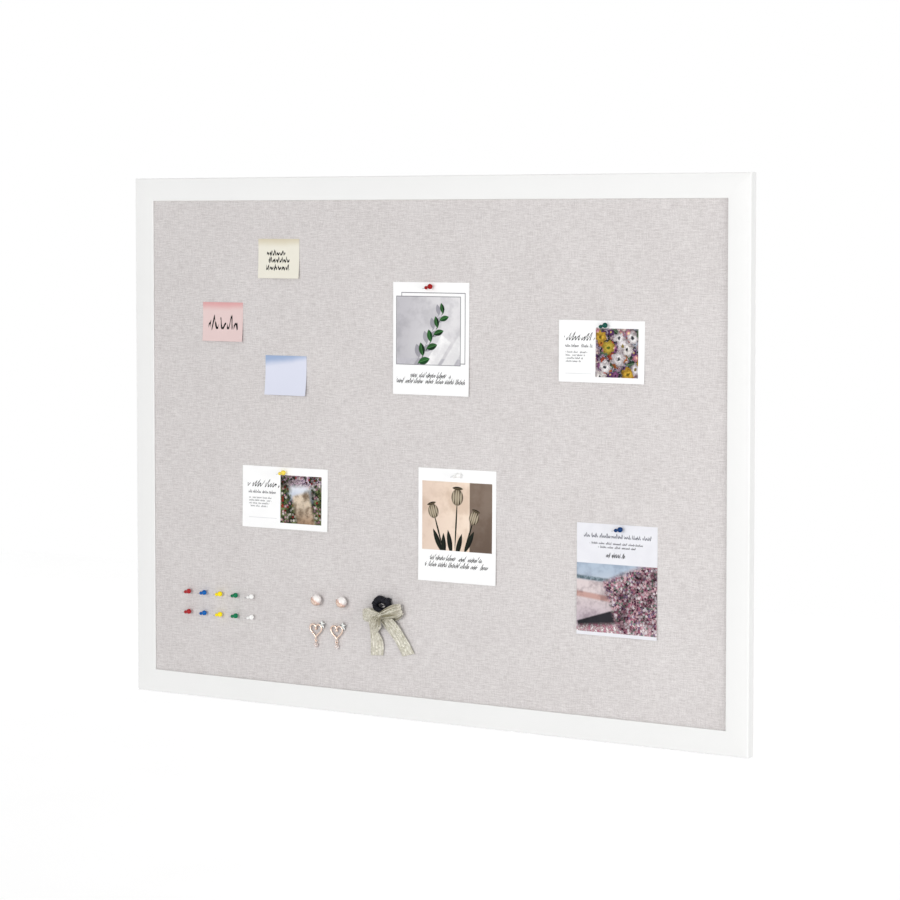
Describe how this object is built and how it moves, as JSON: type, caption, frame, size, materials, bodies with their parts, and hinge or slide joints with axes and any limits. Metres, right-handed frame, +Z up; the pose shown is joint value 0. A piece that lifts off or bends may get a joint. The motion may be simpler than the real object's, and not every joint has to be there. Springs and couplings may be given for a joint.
{
  "type": "cork board",
  "caption": "Wide wall-hung cork board faced with grey linen in a white mitred frame, with push pins, pinned cards, sticky notes and keepsakes; strap hangers with loose rings at the back.",
  "frame": {"origin": "middle of the back plane of the frame, which lies against the wall", "axes": "+X to the right of someone looking at the linen, +Y into the wall, +Z up; the linen faces -Y"},
  "size_m": [1.2192, 0.0345, 0.9144],
  "materials": {
    "white_paint": "satin white paint on wood",
    "linen": "plain slubby linen weave",
    "cork": "fine granulated cork",
    "hardboard": "pressed hardboard",
    "bare_wood": "bare wood",
    "steel": "zinc plated steel",
    "black_steel": "black painted steel",
    "pin_red": "glossy red plastic",
    "pin_blue": "glossy blue plastic",
    "pin_yellow": "glossy yellow plastic",
    "pin_green": "glossy green plastic",
    "pin_white": "glossy white plastic",
    "card_stock": "printed white card",
    "note_yellow": "pale yellow note paper",
    "note_pink": "pale pink note paper",
    "note_blue": "pale blue note paper",
    "pearl": "imitation pearl in a rose gold cup",
    "rose_gold": "polished rose gold plate",
    "black_cloth": "gathered black cloth",
    "ribbon": "pale sheer glitter ribbon"
  },
  "bodies": {
    "board": {"top_rail": "white_paint", "right_rail": "white_paint", "bottom_rail": "white_paint", "left_rail": "white_paint", "mitre_tongue_top_right": "bare_wood", "mitre_tongue_bottom_right": "bare_wood", "mitre_tongue_bottom_left": "bare_wood", "mitre_tongue_top_left": "bare_wood", "linen_cover": "linen", "cork_sheet": "cork", "backing_board": "hardboard", "panel_point_top_first": "steel", "panel_point_top_second": "steel", "panel_point_right_first": "steel", "panel_point_right_second": "steel", "panel_point_bottom_first": "steel", "panel_point_bottom_second": "steel", "panel_point_left_first": "steel", "panel_point_left_second": "steel", "hanger_strap_left": "steel", "hanger_strap_right": "steel", "hanger_screw_left": "steel", "hanger_screw_right": "steel", "tie_nail": "black_steel"},
    "ring_left": {"hanger_ring_left": "steel"},
    "ring_right": {"hanger_ring_right": "steel"},
    "spare_upper_red": {"spare_pin_upper_red": "pin_red"},
    "spare_upper_blue": {"spare_pin_upper_blue": "pin_blue"},
    "spare_upper_yellow": {"spare_pin_upper_yellow": "pin_yellow"},
    "spare_upper_green": {"spare_pin_upper_green": "pin_green"},
    "spare_upper_white": {"spare_pin_upper_white": "pin_white"},
    "spare_lower_red": {"spare_pin_lower_red": "pin_red"},
    "spare_lower_blue": {"spare_pin_lower_blue": "pin_blue"},
    "spare_lower_yellow": {"spare_pin_lower_yellow": "pin_yellow"},
    "spare_lower_green": {"spare_pin_lower_green": "pin_green"},
    "spare_lower_white": {"spare_pin_lower_white": "pin_white"},
    "sprig_pin": {"sprig_card_pin": "pin_red"},
    "bouquet_pin": {"bouquet_card_pin": "pin_green"},
    "garden_pin": {"garden_card_pin": "pin_yellow"},
    "tulip_pin": {"tulip_card_pin": "pin_white"},
    "blossom_pin": {"blossom_card_pin": "pin_blue"},
    "sprig": {"sprig_card": "card_stock"},
    "bouquet": {"bouquet_card": "card_stock"},
    "garden": {"garden_card": "card_stock"},
    "tulip": {"tulip_card": "card_stock"},
    "blossom": {"blossom_card": "card_stock"},
    "yellow_note": {"note_yellow": "note_yellow"},
    "pink_note": {"note_pink": "note_pink"},
    "blue_note": {"note_blue": "note_blue"},
    "stud_left": {"pearl_stud_left": "pearl"},
    "stud_right": {"pearl_stud_right": "pearl"},
    "heart_left": {"heart_earring_left": "rose_gold"},
    "heart_right": {"heart_earring_right": "rose_gold"},
    "drop_left": {"heart_drop_left": "rose_gold"},
    "drop_right": {"heart_drop_right": "rose_gold"},
    "hair_tie_and_bow": {"hair_tie": "black_cloth", "hair_bow": "ribbon"}
  },
  "joints": [
    {"name": "sprig_card_swing", "type": "hinge", "parent": "sprig_pin", "child": "sprig", "pos_m": [-0.0003, -0.0154, 0.269], "axis": [0, 1, 0], "range_deg": [-25, 25]},
    {"name": "bouquet_card_swing", "type": "hinge", "parent": "bouquet_pin", "child": "bouquet", "pos_m": [0.3335, -0.0154, 0.211], "axis": [0, 1, 0], "range_deg": [-25, 25]},
    {"name": "garden_card_swing", "type": "hinge", "parent": "garden_pin", "child": "garden", "pos_m": [-0.3025, -0.0154, -0.0555], "axis": [0, 1, 0], "range_deg": [-25, 25]},
    {"name": "tulip_card_swing", "type": "hinge", "parent": "tulip_pin", "child": "tulip", "pos_m": [0.0553, -0.0154, -0.043], "axis": [0, 1, 0], "range_deg": [-25, 25]},
    {"name": "blossom_card_swing", "type": "hinge", "parent": "blossom_pin", "child": "blossom", "pos_m": [0.3624, -0.0154, -0.115], "axis": [0, 1, 0], "range_deg": [-25, 25]},
    {"name": "yellow_note_lift", "type": "hinge", "parent": "board", "child": "yellow_note", "pos_m": [-0.2961, -0.0152, 0.3512], "axis": [-1, 0, 0], "range_deg": [0, 70]},
    {"name": "pink_note_lift", "type": "hinge", "parent": "board", "child": "pink_note", "pos_m": [-0.4171, -0.0152, 0.2402], "axis": [-1, 0, 0], "range_deg": [0, 70]},
    {"name": "blue_note_lift", "type": "hinge", "parent": "board", "child": "blue_note", "pos_m": [-0.2816, -0.0152, 0.1502], "axis": [-1, 0, 0], "range_deg": [0, 70]},
    {"name": "hair_tie_swing", "type": "hinge", "parent": "board", "child": "hair_tie_and_bow", "pos_m": [-0.0743, -0.022, -0.2657], "axis": [0, 1, 0], "range_deg": [-30, 30]},
    {"name": "drop_left_swing", "type": "hinge", "parent": "heart_left", "child": "drop_left", "pos_m": [-0.2168, -0.0195, -0.33658], "axis": [0, 1, 0], "range_deg": [-30, 30]},
    {"name": "drop_right_swing", "type": "hinge", "parent": "heart_right", "child": "drop_right", "pos_m": [-0.1733, -0.0195, -0.33658], "axis": [0, 1, 0], "range_deg": [-30, 30]},
    {"name": "ring_left_fold", "type": "hinge", "parent": "board", "child": "ring_left", "pos_m": [-0.5956, -0.0034, 0.2872], "axis": [-1, 0, 0], "range_deg": [0, 150]},
    {"name": "ring_right_fold", "type": "hinge", "parent": "board", "child": "ring_right", "pos_m": [0.5956, -0.0034, 0.2872], "axis": [-1, 0, 0], "range_deg": [0, 150]},
    {"name": "sprig_pin_pull", "type": "slide", "parent": "board", "child": "sprig_pin", "axis": [0.9192, -0.342, 0.1954], "range_m": [0, 0.015]},
    {"name": "bouquet_pin_pull", "type": "slide", "parent": "board", "child": "bouquet_pin", "axis": [0.9192, -0.342, 0.1954], "range_m": [0, 0.015]},
    {"name": "garden_pin_pull", "type": "slide", "parent": "board", "child": "garden_pin", "axis": [0.9192, -0.342, 0.1954], "range_m": [0, 0.015]},
    {"name": "tulip_pin_pull", "type": "slide", "parent": "board", "child": "tulip_pin", "axis": [0.9192, -0.342, 0.1954], "range_m": [0, 0.015]},
    {"name": "blossom_pin_pull", "type": "slide", "parent": "board", "child": "blossom_pin", "axis": [0.9192, -0.342, 0.1954], "range_m": [0, 0.015]},
    {"name": "spare_upper_red_pull", "type": "slide", "parent": "board", "child": "spare_upper_red", "axis": [0.9192, -0.342, 0.1954], "range_m": [0, 0.015]},
    {"name": "spare_upper_blue_pull", "type": "slide", "parent": "board", "child": "spare_upper_blue", "axis": [0.9192, -0.342, 0.1954], "range_m": [0, 0.015]},
    {"name": "spare_upper_yellow_pull", "type": "slide", "parent": "board", "child": "spare_upper_yellow", "axis": [0.9192, -0.342, 0.1954], "range_m": [0, 0.015]},
    {"name": "spare_upper_green_pull", "type": "slide", "parent": "board", "child": "spare_upper_green", "axis": [0.9192, -0.342, 0.1954], "range_m": [0, 0.015]},
    {"name": "spare_upper_white_pull", "type": "slide", "parent": "board", "child": "spare_upper_white", "axis": [0.9192, -0.342, 0.1954], "range_m": [0, 0.015]},
    {"name": "spare_lower_red_pull", "type": "slide", "parent": "board", "child": "spare_lower_red", "axis": [0.9192, -0.342, 0.1954], "range_m": [0, 0.015]},
    {"name": "spare_lower_blue_pull", "type": "slide", "parent": "board", "child": "spare_lower_blue", "axis": [0.9192, -0.342, 0.1954], "range_m": [0, 0.015]},
    {"name": "spare_lower_yellow_pull", "type": "slide", "parent": "board", "child": "spare_lower_yellow", "axis": [0.9192, -0.342, 0.1954], "range_m": [0, 0.015]},
    {"name": "spare_lower_green_pull", "type": "slide", "parent": "board", "child": "spare_lower_green", "axis": [0.9192, -0.342, 0.1954], "range_m": [0, 0.015]},
    {"name": "spare_lower_white_pull", "type": "slide", "parent": "board", "child": "spare_lower_white", "axis": [0.9192, -0.342, 0.1954], "range_m": [0, 0.015]},
    {"name": "stud_left_pull", "type": "slide", "parent": "board", "child": "stud_left", "axis": [0, -1, 0], "range_m": [0, 0.014]},
    {"name": "stud_right_pull", "type": "slide", "parent": "board", "child": "stud_right", "axis": [0, -1, 0], "range_m": [0, 0.014]},
    {"name": "heart_left_pull", "type": "slide", "parent": "board", "child": "heart_left", "axis": [0, -1, 0], "range_m": [0, 0.014]},
    {"name": "heart_right_pull", "type": "slide", "parent": "board", "child": "heart_right", "axis": [0, -1, 0], "range_m": [0, 0.014]}
  ]
}
